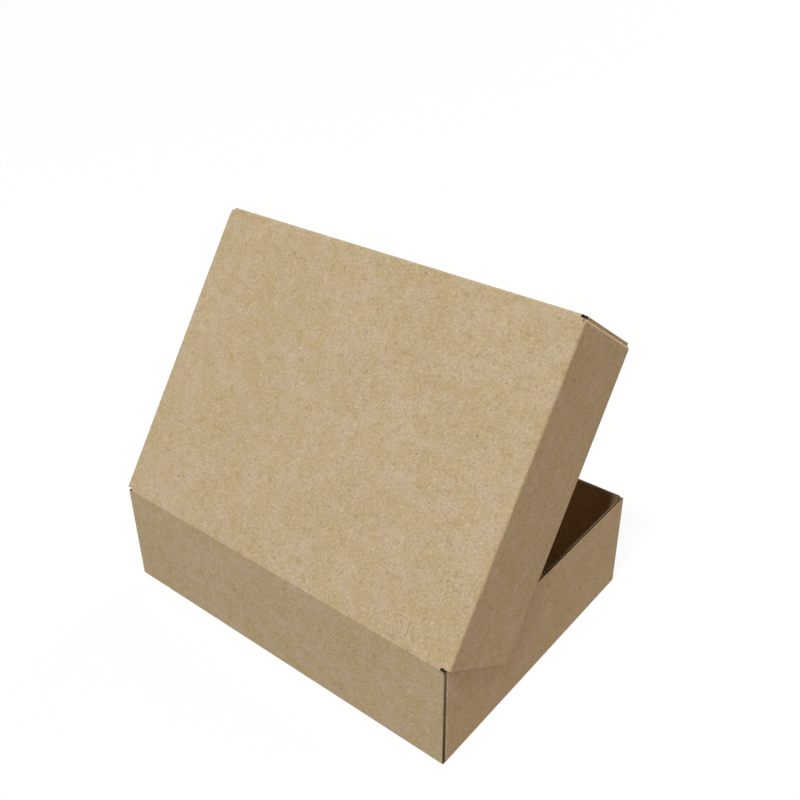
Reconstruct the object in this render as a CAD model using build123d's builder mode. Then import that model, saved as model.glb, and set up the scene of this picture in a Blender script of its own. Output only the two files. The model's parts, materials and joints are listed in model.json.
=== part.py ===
from build123d import *
import os

os.makedirs("parts", exist_ok=True)

# A takeaway food box folded from fine-fluted kraft board.
# It stands on z = 0, with its front at -Y and the hinged back wall at +Y.
# The origin is the middle of the underside. All sizes are millimetres and degrees.

# the board, and how it folds
board = 1.5
fold_inner_radius = 0.2
fold_outer_radius = board + fold_inner_radius
fold_mid_radius = fold_inner_radius + board / 2

# the flutes run from side to side, so they show where the board is cut across them
flute_pitch = 3.5
flute_crest = 0.6
face_paper = 0.25
wave_paper = 0.2
flute_depth = 3  # how far in from a cut edge they are open

# the base tray
base_width = 220
base_depth = 165
base_height = 60
base_back_inset = 0.6
base_side_inset = 0.8
base_tab_length = 24

# the glued tabs, and the small holes where the folds meet at the front corners
tab_taper = 5
corner_relief_radius = 1.05
corner_relief_inset = 2

# the lid, a shallow tray that shuts over the outside of the base
lid_open_angle = 54.5
lid_side_clearance = 0.3
lid_front_clearance = 0.2
lid_top_clearance = 0.3
lid_skirt_depth = 58
lid_front_inset = 1.4
lid_tab_length = 24

# the hinge crease along the top of the back wall
hinge_gap = 0.2
relief_radius = 1.3
relief_inset = 1.5

cut_overrun = 5

# the hinge line lies in the middle of the back wall's board, level with the shut lid's board
end_wall_y = base_depth / 2 - board / 2
hinge_y = end_wall_y
hinge_z = base_height + lid_top_clearance + board / 2

lid_half_width = base_width / 2 + lid_side_clearance + board
lid_reach = hinge_y + base_depth / 2 + lid_front_clearance + 2 * board
lid_start = board / 2 + hinge_gap

# Each tray is drawn in a plane of its own: x across, y towards the hinge,
# z from the outer face of its flat panel into the tray.
base_plane = Plane.XY
lid_tilted = Plane(origin=(0, hinge_y, hinge_z), x_dir=(-1, 0, 0), z_dir=(0, 0, -1)).rotated(
    (-lid_open_angle, 0, 0)
)
lid_plane = lid_tilted.offset(-board / 2)


def across(tray, y):
    """The plane that cuts a tray across at y, facing its hinge side."""
    start = tray.from_local_coords(Vector(0, y, 0))
    return Plane(origin=start, x_dir=-tray.x_dir, z_dir=tray.y_dir)


def along(tray):
    """The middle plane of a tray, with its y to the right and its depth upwards."""
    return Plane(origin=tray.origin, x_dir=tray.y_dir, z_dir=tray.x_dir)


def side_walls(tray, half_width, height, y_front, y_back):
    """The flat panel and its two side walls, as one folded strip."""
    x = half_width - board / 2
    with BuildSketch(across(tray, y_front)) as strip:
        with BuildLine():
            FilletPolyline(
                (-x, height), (-x, board / 2), (x, board / 2), (x, height), radius=fold_mid_radius
            )
        trace(line_width=board)
    extrude(strip.sketch, amount=y_back - y_front)


def side_wall_fronts(tray, half_width, height, y_front, y_back):
    """The front ends of both side walls with their folds, past the end of the flat panel."""
    x = half_width - board / 2
    with BuildSketch(across(tray, y_front)) as ends:
        with BuildLine():
            Line((x, height), (x, fold_outer_radius))
            RadiusArc((x, fold_outer_radius), (x - fold_mid_radius, board / 2), fold_mid_radius)
        trace(line_width=board)
        mirror(about=Plane.YZ)
    extrude(ends.sketch, amount=y_back - y_front)


def end_wall(tray, half_end, y_start, y_wall, height):
    """An end wall, folded up from the flat panel, with the panel from y_start on."""
    with BuildSketch(along(tray)) as strip:
        with BuildLine():
            FilletPolyline(
                (y_start, board / 2), (y_wall, board / 2), (y_wall, height), radius=fold_mid_radius
            )
        trace(line_width=board)
    extrude(strip.sketch, amount=half_end, both=True)


def front_corner_tabs(tray, half_width, height, y_outer, tab_length):
    """The front wall's own tabs: the rounded fold at each corner and the tab inside the side wall."""
    x_wall = half_width - board - fold_outer_radius
    x_tab = half_width - board - board / 2
    y_fold = y_outer + fold_outer_radius
    with BuildSketch(tray.offset(fold_outer_radius)) as fold:
        with BuildLine():
            RadiusArc((x_wall, y_outer + board / 2), (x_tab, y_fold), -fold_mid_radius)
        trace(line_width=board)
        mirror(about=Plane.YZ)
    extrude(fold.sketch, amount=height - fold_outer_radius)
    with BuildSketch(along(tray).offset(x_tab), along(tray).offset(-x_tab)) as tab:
        with BuildLine():
            Polyline(
                (y_fold, fold_outer_radius),
                (y_outer + tab_length, board + tab_taper),
                (y_outer + tab_length, height - tab_taper),
                (y_fold + board, height - board),
                (y_fold, height),
                close=True,
            )
        make_face()
    extrude(tab.sketch, amount=board / 2, both=True)


def corner_tabs(tray, half_width, height, y_outer, tab_length, inward):
    """The side walls' tabs at one end: the rounded fold at each corner and the tab behind the end wall."""
    y_mid = y_outer + inward * board / 2
    y_fold = y_outer + inward * fold_outer_radius
    x_wall = half_width - board / 2
    x_fold = half_width - fold_outer_radius
    with BuildSketch(tray.offset(board)) as fold:
        with BuildLine():
            RadiusArc((x_wall, y_fold), (x_fold, y_mid), inward * fold_mid_radius)
        trace(line_width=board)
        mirror(about=Plane.YZ)
    extrude(fold.sketch, amount=height - board)
    with BuildSketch(across(tray, y_mid)) as tab:
        with BuildLine():
            Polyline(
                (x_fold, board),
                (half_width - tab_length, board + tab_taper),
                (half_width - tab_length, height - tab_taper),
                (x_fold, height),
                close=True,
            )
        make_face()
        mirror(about=Plane.YZ)
    extrude(tab.sketch, amount=board / 2, both=True)


def corner_reliefs(tray, x, y, depth):
    """The small holes where three folds meet, at both front corners."""
    with BuildSketch(tray) as holes:
        with Locations((x, y), (-x, y)):
            Circle(corner_relief_radius)
    extrude(holes.sketch, amount=depth, mode=Mode.SUBTRACT)


def open_flutes(tray, start, end, out_dir):
    """Open the flutes along a cut edge: the gaps on both sides of the waved paper."""
    start_corner = tray.from_local_coords(Vector(*start))
    end_corner = tray.from_local_coords(Vector(*end))
    edge = Plane(
        origin=(start_corner + end_corner) / 2, x_dir=end_corner - start_corner, z_dir=out_dir
    )
    waves = int((end_corner - start_corner).length / flute_pitch)
    face_y = board / 2 - face_paper
    crest_y = face_y - wave_paper
    face_x = (flute_pitch - flute_crest - wave_paper) / 2
    crest_x = flute_crest / 2
    with BuildSketch(edge) as mouths:
        with GridLocations(flute_pitch, 0, waves, 1):
            Polygon(
                (-face_x, face_y), (-crest_x, -crest_y), (crest_x, -crest_y), (face_x, face_y), align=None
            )
        with GridLocations(flute_pitch, 0, waves - 1, 1):
            Polygon(
                (-face_x, -face_y), (face_x, -face_y), (crest_x, crest_y), (-crest_x, crest_y), align=None
            )
    extrude(mouths.sketch, amount=-flute_depth, mode=Mode.SUBTRACT)


def open_side_walls(tray, half_width, height, y_front, y_back):
    """The flutes in the free edges of both side walls."""
    x = half_width - board / 2
    open_flutes(tray, (x, y_front, height), (x, y_back, height), tray.z_dir)
    open_flutes(tray, (-x, y_front, height), (-x, y_back, height), tray.z_dir)


# The base: bottom, side walls with tabs behind the tall back wall, and a front wall with tabs
# inside the side walls.
base_straight_back = base_depth / 2 - board - fold_outer_radius
base_straight_front = -base_depth / 2 + fold_outer_radius
base_front_half = base_width / 2 - board - fold_outer_radius
base_back_half = base_width / 2 - base_back_inset
base_side_front = -base_depth / 2 + base_side_inset
base_hinge_half = base_width / 2 - relief_inset - relief_radius

with BuildPart() as base_tray:
    side_walls(base_plane, base_width / 2, base_height, base_straight_front, base_straight_back)
    side_wall_fronts(base_plane, base_width / 2, base_height, base_side_front, base_straight_front)
    end_wall(base_plane, base_front_half, 0, -end_wall_y, base_height)
    end_wall(base_plane, base_back_half, 0, end_wall_y, hinge_z)
    with BuildSketch(along(base_plane)) as hinge_round:
        with Locations((hinge_y, hinge_z)):
            Circle(board / 2)
    extrude(hinge_round.sketch, amount=base_hinge_half, both=True)
    corner_tabs(base_plane, base_width / 2, base_height, base_depth / 2 - board, base_tab_length, -1)
    front_corner_tabs(base_plane, base_width / 2, base_height, -base_depth / 2, base_tab_length)
    corner_reliefs(base_plane, base_front_half + board / 2, base_straight_front, fold_outer_radius)
    open_side_walls(base_plane, base_width / 2, base_height, base_side_front, base_straight_back)

base_tray.part.label = "base_tray"
export_step(base_tray.part, "parts/base_tray.step")

# The lid: top, front panel, and side flaps with tabs folded in behind the front panel.
lid_front_y = -lid_reach + board / 2
lid_inner_front = -lid_reach + board
lid_straight_end = lid_inner_front + fold_outer_radius
lid_front_half = lid_half_width - lid_front_inset

with BuildPart() as lid:
    side_walls(lid_plane, lid_half_width, lid_skirt_depth, lid_straight_end, -lid_start)
    end_wall(lid_plane, lid_front_half, -lid_start, lid_front_y, lid_skirt_depth)
    corner_tabs(lid_plane, lid_half_width, lid_skirt_depth, lid_inner_front, lid_tab_length, 1)
    with BuildSketch(lid_plane) as lid_reliefs:
        with GridLocations(base_width - 2 * relief_inset, 0, 2, 1):
            Circle(relief_radius)
    extrude(lid_reliefs.sketch, amount=board + cut_overrun, mode=Mode.SUBTRACT)
    corner_reliefs(lid_plane, lid_half_width - corner_relief_inset, lid_front_y, 2 * board)
    open_side_walls(lid_plane, lid_half_width, lid_skirt_depth, lid_straight_end, -lid_start)

lid.part.label = "lid"
export_step(lid.part, "parts/lid.step")
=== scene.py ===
import json
import math
import bpy
from mathutils import Matrix, Vector


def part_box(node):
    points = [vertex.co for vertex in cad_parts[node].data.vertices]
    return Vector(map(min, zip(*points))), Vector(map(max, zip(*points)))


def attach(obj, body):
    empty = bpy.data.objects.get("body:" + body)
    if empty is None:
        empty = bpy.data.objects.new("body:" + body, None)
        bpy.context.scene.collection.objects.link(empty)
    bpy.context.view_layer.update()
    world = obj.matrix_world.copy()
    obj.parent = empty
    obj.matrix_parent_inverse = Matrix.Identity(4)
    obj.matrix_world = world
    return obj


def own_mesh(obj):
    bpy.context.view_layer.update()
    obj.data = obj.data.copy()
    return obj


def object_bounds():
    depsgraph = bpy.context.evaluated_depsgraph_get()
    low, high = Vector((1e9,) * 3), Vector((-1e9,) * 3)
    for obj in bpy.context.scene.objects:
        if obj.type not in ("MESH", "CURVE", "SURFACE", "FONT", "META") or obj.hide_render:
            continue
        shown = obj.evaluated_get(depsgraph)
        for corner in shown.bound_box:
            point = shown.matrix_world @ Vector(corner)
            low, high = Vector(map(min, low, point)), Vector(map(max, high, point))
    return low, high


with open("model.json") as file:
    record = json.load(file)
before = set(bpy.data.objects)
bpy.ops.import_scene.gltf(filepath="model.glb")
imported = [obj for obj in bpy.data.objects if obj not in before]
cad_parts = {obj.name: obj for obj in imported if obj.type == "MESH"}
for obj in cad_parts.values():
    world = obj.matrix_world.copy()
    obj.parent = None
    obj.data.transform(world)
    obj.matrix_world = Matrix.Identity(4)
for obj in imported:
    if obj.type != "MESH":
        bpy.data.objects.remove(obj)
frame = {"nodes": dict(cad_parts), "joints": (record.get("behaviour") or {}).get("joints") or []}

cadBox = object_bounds()
lidHinge = frame["joints"][0]
hingePoint = Vector(lidHinge["pos_m"])
mm = 0.001

# turning the lid by this matrix shuts it, so its panels lie level and upright
shutTurn = Matrix.Rotation(math.radians(lidHinge["range_deg"][0]), 3, Vector(lidHinge["axis"]))
shutShift = hingePoint - shutTurn @ hingePoint
lidShut = [shutTurn @ v.co + shutShift for v in frame["nodes"]["lid"].data.vertices]
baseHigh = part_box("base_tray")[1]
print("frame loaded")


def addObject(name, data):
    made = bpy.data.objects.new(name, data)
    bpy.context.scene.collection.objects.link(made)
    return made


def directionTo(azimuth, elevation):
    # azimuth 0 is in front of the box, 90 at its right as the front is seen
    turn, rise = math.radians(azimuth), math.radians(elevation)
    return Vector((math.sin(turn) * math.cos(rise), -math.cos(turn) * math.cos(rise), math.sin(rise)))


# the camera stands behind the box, to one side and above it; in metres and degrees, its lens in mm
cameraSetup = {
    "place": (-0.28884, 0.33113, 0.38495),
    "azimuth": 219.17,
    "elevation": 31.04,
    "roll": -0.614,
    "lens": 44.13,
    "nearest": 0.01,
    "farthest": 20,
}


def makeCamera(setup):
    camera = addObject("camera", bpy.data.cameras.new("camera"))
    back = directionTo(setup["azimuth"], setup["elevation"])
    aim = (-back).to_track_quat("-Z", "Y").to_matrix().to_4x4()
    roll = Matrix.Rotation(math.radians(setup["roll"]), 4, "Z")
    camera.matrix_world = Matrix.Translation(setup["place"]) @ aim @ roll
    camera.data.lens = setup["lens"]
    camera.data.clip_start, camera.data.clip_end = setup["nearest"], setup["farthest"]
    bpy.context.scene.camera = camera


makeCamera(cameraSetup)
print("camera made")


# short ways to lay nodes; all but the first give back output sockets

def addNode(tree, kind, inputs=None, **settings):
    node = tree.nodes.new(kind)
    for name, value in settings.items():
        setattr(node, name, value)
    for key, value in (inputs or {}).items():
        if isinstance(value, bpy.types.NodeSocket):
            tree.links.new(value, node.inputs[key])
        else:
            node.inputs[key].default_value = value
    return node


def calc(tree, operation, *values):
    node = addNode(tree, "ShaderNodeMath", dict(enumerate(values)), operation=operation)
    return node.outputs[0]


def vectorCalc(tree, operation, *values):
    node = addNode(tree, "ShaderNodeVectorMath", dict(enumerate(values)), operation=operation)
    return node.outputs["Value" if operation in ("LENGTH", "DISTANCE") else "Vector"]


def split(tree, vector):
    return addNode(tree, "ShaderNodeSeparateXYZ", {0: vector}).outputs


def join(tree, x=0.0, y=0.0, z=0.0):
    return addNode(tree, "ShaderNodeCombineXYZ", {0: x, 1: y, 2: z}).outputs[0]


def spread(tree, value, low, high, toLow=0.0, toHigh=1.0):
    limits = {0: value, 1: low, 2: high, 3: toLow, 4: toHigh}
    return addNode(tree, "ShaderNodeMapRange", limits, interpolation_type="SMOOTHSTEP").outputs[0]


def blendValue(tree, amount, below, above):
    return addNode(tree, "ShaderNodeMix", {0: amount, 2: below, 3: above}).outputs[0]


def tint(tree, amount, below, above, blend="MIX"):
    given = {0: amount, 6: below, 7: above}
    return addNode(tree, "ShaderNodeMix", given, data_type="RGBA", blend_type=blend).outputs[2]


def cloud(tree, place, size, detail, rough=0.5):
    given = {"Vector": place, "Scale": 1 / size, "Detail": detail, "Roughness": rough}
    return addNode(tree, "ShaderNodeTexNoise", given).outputs


# the board that both trays are folded from, in mm; each slack keeps a test off the exact edge
kraftBoard = {
    "thickness": 1.5,
    "foldRadius": 1.7,
    "facePaper": 0.25,
    "cutSkin": 0.08,     # how much of a face paper shows at a cut edge
    "fluteDepth": 3.0,
    "fluteSlack": 0.2,
    "lapSlack": 0.03,
    "roundSlack": 0.01,
    "innerShift": 400,   # gives the inner paper a grain of its own
    "wallFacing": 0.71,  # a face that looks this squarely sideways is on a wall
}


def foldDistance(tree, first, second):
    # distance from the outer skin of a rounded fold between two walls, less than 0 inside
    radius = kraftBoard["foldRadius"]
    first, second = calc(tree, "ADD", first, radius), calc(tree, "ADD", second, radius)
    corner = join(tree, calc(tree, "MAXIMUM", first, 0), calc(tree, "MAXIMUM", second, 0))
    within = calc(tree, "MINIMUM", calc(tree, "MAXIMUM", first, second), 0)
    return calc(tree, "SUBTRACT", calc(tree, "ADD", vectorCalc(tree, "LENGTH", corner), within), radius)


def unfold(tree, depth, onWall, position):
    # a wall's points lie further out on the flat sheet by how deep they are in the tray
    further = calc(tree, "MULTIPLY", depth, onWall)
    return calc(tree, "MULTIPLY_ADD", further, calc(tree, "SIGN", position), position)


def skinPlace(tree, tray, at, depth):
    # how far a point lies under the outer skin, which tells the outer paper from the core and the inner
    # paper; at each end one wall laps over the other, so the fold behind it turns a board further in
    board, slack = kraftBoard["thickness"], kraftBoard["lapSlack"]
    outX = calc(tree, "SUBTRACT", calc(tree, "ABSOLUTE", at[0]), tray["halfWidth"])
    fromMiddle = calc(tree, "ABSOLUTE", calc(tree, "SUBTRACT", at[1], tray["middleY"]))
    outY = calc(tree, "SUBTRACT", fromMiddle, tray["halfDepth"])
    atBack = calc(tree, "GREATER_THAN", at[1], tray["middleY"])
    (frontX, frontY), (backX, backY) = tray["frontFold"], tray["backFold"]
    foldX = calc(tree, "ADD", outX, calc(tree, "MULTIPLY_ADD", atBack, backX - frontX, frontX))
    foldY = calc(tree, "ADD", outY, calc(tree, "MULTIPLY_ADD", atBack, backY - frontY, frontY))
    lapped = calc(tree, "GREATER_THAN", calc(tree, "MAXIMUM", foldX, foldY), -slack)
    folded = foldDistance(tree, foldX, foldY)
    out = blendValue(tree, lapped, folded, calc(tree, "MAXIMUM", outX, outY))
    under = calc(tree, "MULTIPLY", foldDistance(tree, out, calc(tree, "MULTIPLY", depth, -1)), -1)
    if tray["roundAt"]:
        y, z = tray["roundAt"]
        roundEnd = tray["roundHalf"] + kraftBoard["roundSlack"]
        ray = join(tree, y=calc(tree, "SUBTRACT", at[1], y), z=calc(tree, "SUBTRACT", at[2], z))
        inRound = calc(tree, "SUBTRACT", board / 2, vectorCalc(tree, "LENGTH", ray))
        aboveRound = calc(tree, "GREATER_THAN", at[2], z + slack)
        alongRound = calc(tree, "LESS_THAN", calc(tree, "ABSOLUTE", at[0]), roundEnd)
        under = blendValue(tree, calc(tree, "MULTIPLY", aboveRound, alongRound), under, inRound)
    onSideWall = calc(tree, "MULTIPLY", calc(tree, "GREATER_THAN", outX, -board),
                      calc(tree, "LESS_THAN", foldY, -slack))
    return under, onSideWall, atBack


def holeShade(tree, holes, at, depth, under):
    # painted shade inside the small holes where folds meet and in the crevice behind the back wall's ends
    holeShadeShare = 0.0
    side = join(tree, calc(tree, "ABSOLUTE", at[0]), at[1])
    for hole in holes:
        middle = [start + step for start, step in zip(hole["corner"], hole["step"])]
        away = vectorCalc(tree, "DISTANCE", side, (*middle, 0))
        near = calc(tree, "LESS_THAN", away, hole["reach"])
        near = calc(tree, "MULTIPLY", near, hole["dark"])
        near = calc(tree, "MULTIPLY", near, calc(tree, "GREATER_THAN", under, hole["under"]))
        level = calc(tree, "MULTIPLY", calc(tree, "GREATER_THAN", depth, hole["low"]),
                     calc(tree, "LESS_THAN", depth, hole["high"]))
        holeShadeShare = calc(tree, "MAXIMUM", holeShadeShare, calc(tree, "MULTIPLY", near, level))
    return holeShadeShare


def sheetPlace(tree, tray):
    # the sheet's own coordinates in mm: each tray laid flat again, so the paper runs on over every fold
    coords = addNode(tree, "ShaderNodeTexCoord").outputs
    place, normal = coords["Object"], coords["Normal"]
    if tray["turn"]:
        moved = {"Vector": place, "Location": tray["shift"], "Rotation": tray["turn"]}
        place = addNode(tree, "ShaderNodeMapping", moved).outputs[0]
        turned = {"Vector": normal, "Rotation": tray["turn"]}
        normal = addNode(tree, "ShaderNodeMapping", turned, vector_type="VECTOR").outputs[0]
    at = split(tree, vectorCalc(tree, "MULTIPLY", place, (1 / mm,) * 3))
    facing = split(tree, vectorCalc(tree, "ABSOLUTE", normal))
    depth = calc(tree, "MULTIPLY_ADD", at[2], tray["depthSign"], tray["depthFrom"])
    onSide = calc(tree, "GREATER_THAN", facing[0], kraftBoard["wallFacing"])
    onEnd = calc(tree, "GREATER_THAN", facing[1], kraftBoard["wallFacing"])
    across = unfold(tree, depth, onSide, at[0])
    along = unfold(tree, depth, onEnd, at[1])
    along = calc(tree, "MULTIPLY_ADD", along, tray["alongSign"], tray["alongFrom"])
    under, onSideWall, atBack = skinPlace(tree, tray, at, depth)
    inner = calc(tree, "GREATER_THAN", under, kraftBoard["thickness"] - kraftBoard["facePaper"] / 2)
    flat = join(tree, across, along, calc(tree, "MULTIPLY", inner, kraftBoard["innerShift"]))
    holeShadeShare = holeShade(tree, tray["holes"], at, depth, under)
    return {"flat": flat, "under": under, "inner": inner, "depth": depth,
            "onSideWall": onSideWall, "holeShadeShare": holeShadeShare, "atBack": atBack}


# how the bits of fibre bend and vary, as shares of their cell and their length
fleckShape = {
    "warpSize": 0.35,
    "warpReach": 0.8,
    "shortest": 0.4,
    "longest": 1.3,
    "seedStep": (1.0, 0.7, 0.3),
}


def flecks(tree, place, look, shape):
    # one short bit of fibre in some of the cells, each turned its own way
    cell, length = look["cell"], look["length"]
    warp = cloud(tree, place, cell * shape["warpSize"], 1)["Color"]
    warp = vectorCalc(tree, "SUBTRACT", warp, (0.5, 0.5, 0.5))
    warp = vectorCalc(tree, "MULTIPLY", warp, (length * shape["warpReach"],) * 3)
    bent = vectorCalc(tree, "MULTIPLY", vectorCalc(tree, "ADD", warp, place), (1 / cell,) * 3)
    spot = vectorCalc(tree, "ADD", bent, tuple(look["seed"] * step for step in shape["seedStep"]))
    cells = addNode(tree, "ShaderNodeTexVoronoi", {"Vector": spot, "Scale": 1.0},
                    voronoi_dimensions="2D").outputs
    offset = vectorCalc(tree, "SUBTRACT", spot, cells["Position"])
    offset = vectorCalc(tree, "MULTIPLY", offset, (cell, cell, 0))
    chance = addNode(tree, "ShaderNodeSeparateColor", {0: cells["Color"]}).outputs
    angle = calc(tree, "MULTIPLY", chance[0], 2 * math.pi)
    turned = addNode(tree, "ShaderNodeVectorRotate", {"Vector": offset, "Angle": angle},
                     rotation_type="Z_AXIS").outputs[0]
    long = calc(tree, "MULTIPLY_ADD", chance[1], shape["longest"] - shape["shortest"], shape["shortest"])
    oval = vectorCalc(tree, "DIVIDE", turned, (length / 2, look["width"] / 2, 1))
    reach = calc(tree, "DIVIDE", vectorCalc(tree, "LENGTH", oval), long)
    mark = spread(tree, reach, 1.0, 1.0 - look["soft"])
    return calc(tree, "MULTIPLY", mark, calc(tree, "LESS_THAN", chance[2], look["chance"]))


# the paper: its colours first, then what is laid over them on the unfolded sheet, sizes in mm
kraftLook = {
    "paper": (0.512, 0.392, 0.240, 1),
    "paleCloud": (0.536, 0.423, 0.297, 1),
    "ochreCloud": (0.496, 0.367, 0.187, 1),
    "rosyCloud": (0.534, 0.382, 0.252, 1),
    "oliveCloud": (0.490, 0.404, 0.220, 1),
    "paleDrift": (1.035, 1.035, 1.08, 1),
    "darkDrift": (0.965, 0.965, 0.92, 1),
    "darkGrain": (0.395, 0.292, 0.168, 1),
    "paleGrain": (0.640, 0.520, 0.360, 1),
    "shive": (0.130, 0.075, 0.028, 1),
    "stain": (0.400, 0.262, 0.090, 1),
    "paleFibre": (0.720, 0.610, 0.455, 1),
    # partly the waved paper's own darker brown, partly painted shade: darker than that paper, standing in
    # for the shade among its flutes
    "core": (0.120, 0.076, 0.039, 1),
    # painted shade: near black, laid into the flute openings, the small holes, the crevice behind the back
    # wall's ends and the feet of the cut ends
    "paintedShade": (0.028, 0.016, 0.007, 1),
    "insideTint": (0.97, 0.93, 0.86, 1),

    # fibres run along the sheet and weft across it, as noise a thread wide and drawn out
    "noises": {
        "hue": {"size": 12.0, "detail": 4, "rough": 0.6},
        "drift": {"size": 42.0, "detail": 3, "rough": 0.5, "shift": (11, 53, 5)},
        "blush": {"size": 5.5, "detail": 3, "rough": 0.6, "shift": (31, 17, 5)},
        "mottle": {"size": 4.5, "detail": 5, "rough": 0.66},
        "grain": {"size": 1.5, "detail": 3, "rough": 0.65},
        "speck": {"size": 0.8, "detail": 2, "rough": 0.5, "shift": (7, 3, 9)},
        "fibres": {"size": 0.22, "detail": 2, "rough": 0.5, "stretch": (1.0, 0.13, 1.0)},
        "weft": {"size": 0.286, "detail": 2, "rough": 0.5, "stretch": (0.2, 1.0, 1.0)},
    },
    "hueSpan": (0.40, 0.62),
    "driftSpan": (0.38, 0.62),
    "paperShare": 0.3,

    # each mark: its noise, its colour, where in the noise it starts and is full, and how strong it gets
    "marks": [
        ("blush", "rosyCloud", 0.50, 0.68, 0.80),
        ("blush", "oliveCloud", 0.50, 0.32, 0.80),
        ("mottle", "darkGrain", 0.52, 0.75, 0.88),
        ("mottle", "paleGrain", 0.48, 0.25, 0.75),
        ("grain", "darkGrain", 0.53, 0.68, 0.74),
        ("grain", "paleGrain", 0.47, 0.32, 0.60),
        ("speck", "darkGrain", 0.52, 0.68, 0.48),
        ("speck", "paleGrain", 0.48, 0.32, 0.40),
        ("fibres", "darkGrain", 0.56, 0.74, 0.35),
        ("weft", "paleGrain", 0.58, 0.76, 0.30),
    ],

    # stains, pale fibres, woody shives and dark specks; chance is the share of cells that hold one
    "flecks": [
        {"colour": "stain", "strength": 0.5, "cell": 17.0, "length": 5.0, "width": 3.2,
         "chance": 0.55, "seed": 3.1, "soft": 0.9},
        {"colour": "paleFibre", "strength": 0.5, "cell": 5.0, "length": 2.6, "width": 0.35,
         "chance": 0.5, "seed": 7.7, "soft": 0.6},
        {"colour": "shive", "strength": 0.6, "cell": 9.0, "length": 2.0, "width": 0.55,
         "chance": 0.45, "seed": 11.3, "soft": 0.6},
        {"colour": "shive", "strength": 0.35, "cell": 3.4, "length": 0.9, "width": 0.4,
         "chance": 0.4, "seed": 19.9, "soft": 0.6},
    ],

    # the cut edges, with the painted shade in their hollows and towards their feet
    "cutBlur": 0.05,
    "mouthShadeSpan": (0.05, 0.4),  # how far below the edge the painted shade in a flute's opening starts and is full
    "shadeLiftSpan": (25, 60),      # over this height the back wall's ends are painted paler, as the painted shade on them eases towards the top
    "footShadeShare": 0.8,

    # the surface
    "relief": {"grain": 0.6, "fibres": 0.5, "weft": 0.4},
    "bump": 0.00006,
    "roughSpan": (0.3, 0.7),
    "roughness": (0.80, 0.94),
    "specular": 0.25,
}


def paperColour(tree, place, noise, look):
    hue = spread(tree, noise["hue"], *look["hueSpan"])
    colour = tint(tree, hue, look["ochreCloud"], look["paleCloud"])
    colour = tint(tree, look["paperShare"], colour, look["paper"])
    drift = spread(tree, noise["drift"], *look["driftSpan"])
    drift = tint(tree, drift, look["darkDrift"], look["paleDrift"])
    colour = tint(tree, 1.0, colour, drift, "MULTIPLY")
    for noiseName, colourName, start, full, strength in look["marks"]:
        mark = spread(tree, noise[noiseName], start, full, 0, strength)
        colour = tint(tree, mark, colour, look[colourName])
    for fleck in look["flecks"]:
        mark = calc(tree, "MULTIPLY", flecks(tree, place, fleck, fleckShape), fleck["strength"])
        colour = tint(tree, mark, colour, look[fleck["colour"]])
    return colour


def edgeColour(tree, colour, sheet, tray, look):
    # between the two papers lies the waved one, which shows only at the cut edges; where they are cut across
    # the flutes, painted shade darkens its hollows, and painted shade also fills the small holes and darkens
    # the cut ends towards the flat panel
    under, depth, blur = sheet["under"], sheet["depth"], look["cutBlur"]
    outerSkin, innerSkin = kraftBoard["cutSkin"], kraftBoard["thickness"] - kraftBoard["cutSkin"]
    core = calc(tree, "MULTIPLY", spread(tree, under, outerSkin - blur, outerSkin + blur),
                spread(tree, under, innerSkin + blur, innerSkin - blur))
    below = calc(tree, "SUBTRACT", tray["edgeDepth"], depth)
    inFlutes = calc(tree, "LESS_THAN", below, kraftBoard["fluteDepth"] + kraftBoard["fluteSlack"])
    onEdge = calc(tree, "MULTIPLY", sheet["onSideWall"], inFlutes)
    share = blendValue(tree, onEdge, tray["cutShare"], tray["flutedShare"])
    # painted light and shade on the cut ends: the back wall's ends keep less of the core's colour higher up,
    # and the ends darken towards the flat panel
    shadeLift = spread(tree, depth, *look["shadeLiftSpan"], 0, tray["endShadeLift"])
    kept = calc(tree, "SUBTRACT", 1, calc(tree, "MULTIPLY", sheet["atBack"], shadeLift))
    share = calc(tree, "MULTIPLY", share, kept)
    # the core's colour, partly its own tone and partly painted shade
    colour = tint(tree, calc(tree, "MULTIPLY", core, share), colour, look["core"])
    # painted shade in the flute openings
    mouthShade = calc(tree, "MULTIPLY", core, onEdge)
    mouthShade = calc(tree, "MULTIPLY", mouthShade, spread(tree, below, *look["mouthShadeSpan"]))
    # painted shade towards the flat panel
    footShade = calc(tree, "MULTIPLY", core, spread(tree, depth, tray["footShadeFrom"], 0, 0, look["footShadeShare"]))
    shadeShare = calc(tree, "MAXIMUM", calc(tree, "MAXIMUM", mouthShade, sheet["holeShadeShare"]), footShade)
    return tint(tree, shadeShare, colour, look["paintedShade"])


def kraftMaterial(name, tray, look):
    material = bpy.data.materials.new(name)
    material.use_nodes = True
    tree = material.node_tree
    shader = tree.nodes["Principled BSDF"]
    sheet = sheetPlace(tree, tray)
    place = sheet["flat"]

    noise = {}
    for noiseName, made in look["noises"].items():
        stretch, shift = made.get("stretch", (1, 1, 1)), made.get("shift", (0, 0, 0))
        spot = vectorCalc(tree, "MULTIPLY_ADD", place, stretch, shift)
        noise[noiseName] = cloud(tree, spot, made["size"], made["detail"], made["rough"])["Fac"]

    colour = paperColour(tree, place, noise, look)
    colour = tint(tree, sheet["inner"], colour, look["insideTint"], "MULTIPLY")
    colour = edgeColour(tree, colour, sheet, tray, look)

    height = 0.0
    for noiseName, share in look["relief"].items():
        height = calc(tree, "MULTIPLY_ADD", noise[noiseName], share, height)
    bump = addNode(tree, "ShaderNodeBump", {"Height": height, "Distance": look["bump"], "Strength": 1.0})
    rough = spread(tree, noise["grain"], *look["roughSpan"], *look["roughness"])
    tree.links.new(colour, shader.inputs["Base Color"])
    tree.links.new(rough, shader.inputs["Roughness"])
    tree.links.new(bump.outputs[0], shader.inputs["Normal"])
    shader.inputs["Specular IOR Level"].default_value = look["specular"]
    return material


def lowHigh(points, axis):
    values = [p[axis] for p in points]
    return min(values) / mm, max(values) / mm


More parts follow.
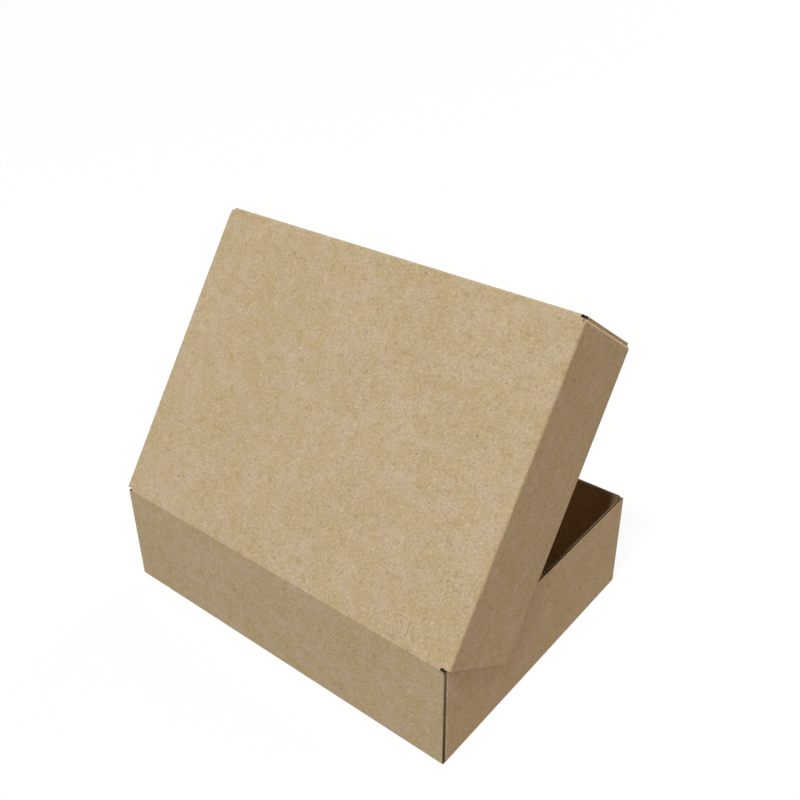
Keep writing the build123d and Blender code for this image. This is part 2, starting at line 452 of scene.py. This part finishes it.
lidX, lidY, lidZ = lowHigh(lidShut, 0), lowHigh(lidShut, 1), lowHigh(lidShut, 2)
hingeY, hingeZ = hingePoint.y / mm, hingePoint.z / mm
baseX, baseY = baseHigh.x / mm, baseHigh.y / mm
basePoints = [v.co for v in frame["nodes"]["base_tray"].data.vertices]

# the side walls' height is read well in front of the hinge line, half the crease's length just above it
readAt = {"inFront": 10, "above": 0.3}
wallPoints = [p for p in basePoints if p.y < hingePoint.y - readAt["inFront"] * mm]
creasePoints = [p for p in basePoints if p.z > hingePoint.z + readAt["above"] * mm]
baseEdge = lowHigh(wallPoints, 2)[1]
creaseHalf = lowHigh(creasePoints, 0)[1]

farBack = 500     # the lid has no back wall, so its middle lies well behind it
noEnd = 99        # deeper than either tray
wholeBoard = -1   # for a hole whose painted shade starts at the outer skin

# each tray as it stands when the box is shut, in mm; a hole lies a step from a corner, its low and high are
# depths in the tray, and it is painted dark as shade, as strongly as its "dark" says, where the board is
# further than "under" below its outer skin
baseTray = {
    "turn": None,
    "depthSign": 1,
    "depthFrom": 0,
    "alongSign": 1,
    "alongFrom": 0,
    "halfWidth": baseX,
    "middleY": 0,
    "halfDepth": baseY,
    "frontFold": (kraftBoard["thickness"], 0),
    "backFold": (0, kraftBoard["thickness"]),
    "roundAt": (hingeY, hingeZ),
    "roundHalf": creaseHalf,
    "holes": [
        {"corner": (baseX, -baseY), "step": (-2.45, 1.7), "reach": 1.1,
         "low": 0.03, "high": 1.7, "under": wholeBoard, "dark": 1},
        {"corner": (creaseHalf, hingeY), "step": (1.3, 0), "reach": 1.4,
         "low": baseEdge + 0.1, "high": noEnd, "under": 0.04, "dark": 1},
        # painted shade in the crevice between the side wall's fold and the back wall's end
        {"corner": (baseX, baseY), "step": (-0.7, -1.8), "reach": 0.42,
         "low": 1.0, "high": baseEdge - 1, "under": wholeBoard, "dark": 0.7},
    ],
    "edgeDepth": baseEdge,
    "cutShare": 0.95,     # how much of the core's colour shows at a plain cut
    "flutedShare": 0.75,  # and at a cut across the flutes
    "footShadeFrom": 35,       # painted shade darkens the cut ends from here down to the flat panel
    "endShadeLift": 0.35,      # what the back ends lose of the core's colour higher up, where the painted shade on them eases
}
lidTray = {
    "turn": shutTurn.to_euler(),
    "shift": shutShift,
    "depthSign": -1,
    "depthFrom": lidZ[1],
    "alongSign": -1,
    "alongFrom": 2 * hingeY + hingeZ,
    "halfWidth": lidX[1],
    "middleY": lidY[0] + farBack,
    "halfDepth": farBack,
    "frontFold": (0, kraftBoard["thickness"]),
    "backFold": (0, kraftBoard["thickness"]),
    "roundAt": None,
    "holes": [
        {"corner": (lidX[1], lidY[0]), "step": (-2, 0.75), "reach": 1.1,
         "low": 0.03, "high": 4, "under": 0.04, "dark": 1},
        {"corner": (creaseHalf, hingeY), "step": (1.3, 0), "reach": 1.33,
         "low": 0.03, "high": 4, "under": 0.04, "dark": 1},
    ],
    "edgeDepth": lidZ[1] - lidZ[0],
    "cutShare": 0.1,
    "flutedShare": 0.75,
    "footShadeFrom": 0,
    "endShadeLift": 0,
}
kraftBase = kraftMaterial("kraftBase", baseTray, kraftLook)
kraftLid = kraftMaterial("kraftLid", lidTray, kraftLook)
dressing = (("base_tray", kraftBase, "kraft_base"), ("lid", kraftLid, "kraft_lid"))
for nodeName, material, slot in dressing:
    board = frame["nodes"][nodeName]
    board.data.materials.clear()
    board.data.materials.append(material)
print("kraft board dressed")


# the outer paper runs on from the back wall over the hinge crease to the lid; this strip of it turns with
# the lid round the crease, and its section is given by how far out from the hinge line it lies, in mm
creaseSkin = {
    "clearRadius": 0.78,
    "face": kraftBoard["thickness"] / 2,
    "paper": 0.12,
    "lidStart": hingeY - lidY[1],
    "halfLength": creaseHalf,
    "keptFlatBack": 0.2,
}


def sweepTree(name, material):
    # a closed strip: four corners swept along X
    tree = bpy.data.node_groups.new(name, "GeometryNodeTree")
    corners = ["Near Outer", "Far Outer", "Far Inner", "Near Inner"]
    for corner in corners:
        tree.interface.new_socket(corner, in_out="INPUT", socket_type="NodeSocketVector")
    tree.interface.new_socket("Half Length", in_out="INPUT", socket_type="NodeSocketFloat")
    tree.interface.new_socket("Geometry", in_out="OUTPUT", socket_type="NodeSocketGeometry")
    given = addNode(tree, "NodeGroupInput").outputs
    section = addNode(tree, "GeometryNodeCurvePrimitiveQuadrilateral", mode="POINTS")
    for number, corner in enumerate(corners, 1):
        tree.links.new(given[corner], section.inputs[f"Point {number}"])
    ends = [join(tree, calc(tree, "MULTIPLY", given["Half Length"], side)) for side in (-1, 1)]
    path = addNode(tree, "GeometryNodeCurvePrimitiveLine", {"Start": ends[0], "End": ends[1]})
    strip = addNode(tree, "GeometryNodeCurveToMesh",
                    {"Curve": path.outputs[0], "Profile Curve": section.outputs[0], "Fill Caps": True})
    flat = addNode(tree, "GeometryNodeSetShadeSmooth", {"Geometry": strip.outputs[0], "Shade Smooth": False})
    real = addNode(tree, "GeometryNodeRealizeInstances", {0: flat.outputs[0]})
    dressed = addNode(tree, "GeometryNodeSetMaterial", {"Geometry": real.outputs[0], "Material": material})
    out = addNode(tree, "NodeGroupOutput")
    tree.links.new(dressed.outputs[0], out.inputs[0])
    return tree


def growPiece(name, tree, values):
    # run a tree on an empty mesh and keep its result as a plain mesh
    holder = addObject(name + "Seed", bpy.data.meshes.new(name + "Seed"))
    grow = holder.modifiers.new("grow", "NODES")
    grow.node_group = tree
    sockets = {s.name: s.identifier for s in tree.interface.items_tree if s.in_out == "INPUT"}
    for key, value in values.items():
        grow[sockets[key]] = value
    ready = holder.evaluated_get(bpy.context.evaluated_depsgraph_get())
    mesh = bpy.data.meshes.new_from_object(ready)
    bpy.data.objects.remove(holder)
    mesh.name = name
    return addObject(name, mesh)


def makeCreaseSkin(skin):
    low = skin["face"] - skin["paper"]
    near, nearLow = (math.sqrt(skin["clearRadius"] ** 2 - rise ** 2) for rise in (skin["face"], low))
    tree = sweepTree("creaseSweep", kraftLid)
    piece = growPiece("crease_skin", tree, {
        "Near Outer": (near * mm, -skin["face"] * mm, 0),
        "Far Outer": (skin["lidStart"] * mm, -skin["face"] * mm, 0),
        "Far Inner": (skin["lidStart"] * mm, -low * mm, 0),
        "Near Inner": (nearLow * mm, -low * mm, 0),
        "Half Length": skin["halfLength"] * mm,
    })
    piece.data.transform(Matrix.Translation(hingePoint) @ shutTurn.inverted().to_4x4())
    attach(piece, "lid")
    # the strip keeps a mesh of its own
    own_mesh(piece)


makeCreaseSkin(creaseSkin)
print("crease skin laid")


# the lens and mirror rays see floor and surroundings near white; the box is lit by the lamps and by what
# the pale floor throws back
stageLook = {
    "floorSize": 12.0,
    "floorColour": (0.58, 0.54, 0.51, 1),
    "floorSeen": (0.95, 0.95, 0.95, 1),
    "floorRoughness": 0.9,
    "shadowShare": 0.06,
    "backdrop": (1, 1, 1, 1),
}


def seenByLens(tree):
    ray = addNode(tree, "ShaderNodeLightPath").outputs
    seen = calc(tree, "MAXIMUM", ray["Is Camera Ray"], ray["Is Glossy Ray"])
    return calc(tree, "MAXIMUM", seen, ray["Is Transmission Ray"])


def makeFloor(look):
    half = look["floorSize"] / 2
    corners = [(-half, -half, 0), (half, -half, 0), (half, half, 0), (-half, half, 0)]
    mesh = bpy.data.meshes.new("floor")
    mesh.from_pydata(corners, [], [(0, 1, 2, 3)])
    floor = addObject("floor", mesh)
    material = bpy.data.materials.new("paleFloor")
    material.use_nodes = True
    tree = material.node_tree
    shader = tree.nodes["Principled BSDF"]
    seen = seenByLens(tree)
    tree.links.new(tint(tree, seen, look["floorColour"], look["floorSeen"]), shader.inputs["Base Color"])
    shader.inputs["Roughness"].default_value = look["floorRoughness"]
    white = addNode(tree, "ShaderNodeEmission", {"Color": look["backdrop"], "Strength": 1.0})
    share = calc(tree, "MULTIPLY", seen, 1 - look["shadowShare"])
    mixed = addNode(tree, "ShaderNodeMixShader", {0: share, 1: shader.outputs[0], 2: white.outputs[0]})
    tree.links.new(mixed.outputs[0], tree.nodes["Material Output"].inputs["Surface"])
    mesh.materials.append(material)


def makeWorld(look):
    world = bpy.data.worlds.new("studio")
    world.use_nodes = True
    tree = world.node_tree
    dark = tree.nodes["Background"]
    dark.inputs["Strength"].default_value = 0
    white = addNode(tree, "ShaderNodeBackground", {"Color": look["backdrop"], "Strength": 1.0})
    mixed = addNode(tree, "ShaderNodeMixShader",
                    {0: seenByLens(tree), 1: dark.outputs[0], 2: white.outputs[0]})
    tree.links.new(mixed.outputs[0], tree.nodes["World Output"].inputs["Surface"])
    bpy.context.scene.world = world


# square soft lamps, each this far from the box's middle and turned to it
lampDistance = 5.0
lamps = {
    "keyLamp": {"azimuth": 190, "elevation": 62, "size": 0.5, "power": 238, "colour": (0.985, 1.0, 0.985)},
    "frontLamp": {"azimuth": 0, "elevation": 25, "size": 2.0, "power": 100, "colour": (1.0, 0.95, 0.88)},
    "sideLamp": {"azimuth": 302, "elevation": 32, "size": 1.2, "power": 45.3, "colour": (1.0, 0.755, 0.55)},
}


def makeLamp(name, lamp):
    light = bpy.data.lights.new(name, "AREA")
    light.size, light.energy, light.color = lamp["size"], lamp["power"], lamp["colour"]
    holder = addObject(name, light)
    toLamp = directionTo(lamp["azimuth"], lamp["elevation"])
    holder.location = (cadBox[0] + cadBox[1]) / 2 + toLamp * lampDistance
    holder.rotation_euler = (-toLamp).to_track_quat("-Z", "Y").to_euler()


makeFloor(stageLook)
makeWorld(stageLook)
for lampName, lamp in lamps.items():
    makeLamp(lampName, lamp)
bpy.context.scene.view_settings.view_transform = "Standard"
print("studio made")
